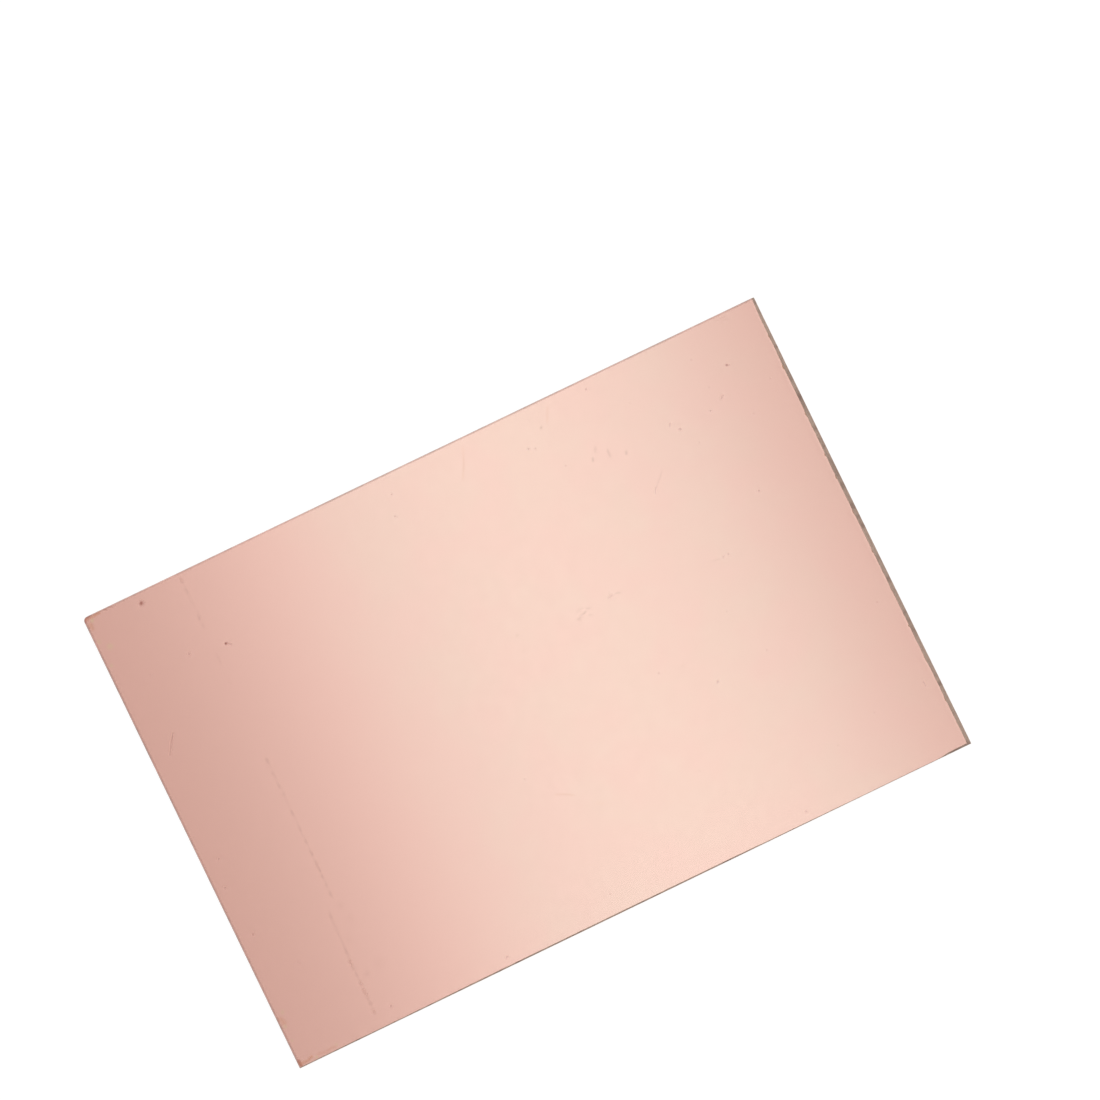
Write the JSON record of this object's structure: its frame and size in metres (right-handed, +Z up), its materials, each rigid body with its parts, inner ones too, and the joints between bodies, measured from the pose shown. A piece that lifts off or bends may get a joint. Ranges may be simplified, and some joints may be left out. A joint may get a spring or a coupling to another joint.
{
  "type": "copper clad board",
  "caption": "Rectangular sheet of single-sided copper clad board: a brown phenolic paper laminate with copper foil over one face, raw stock for making a printed circuit.",
  "frame": {"origin": "on the resting face, at the middle of the board's footprint", "axes": "+X along the long side, +Y along the short side, +Z up out of the copper face"},
  "size_m": [0.15, 0.1, 0.0015],
  "materials": {
    "copper": "satin",
    "phenolic_paper": "satin"
  },
  "bodies": {
    "root": {"laminate_base": "phenolic_paper", "copper_foil": "copper"}
  },
  "joints": []
}
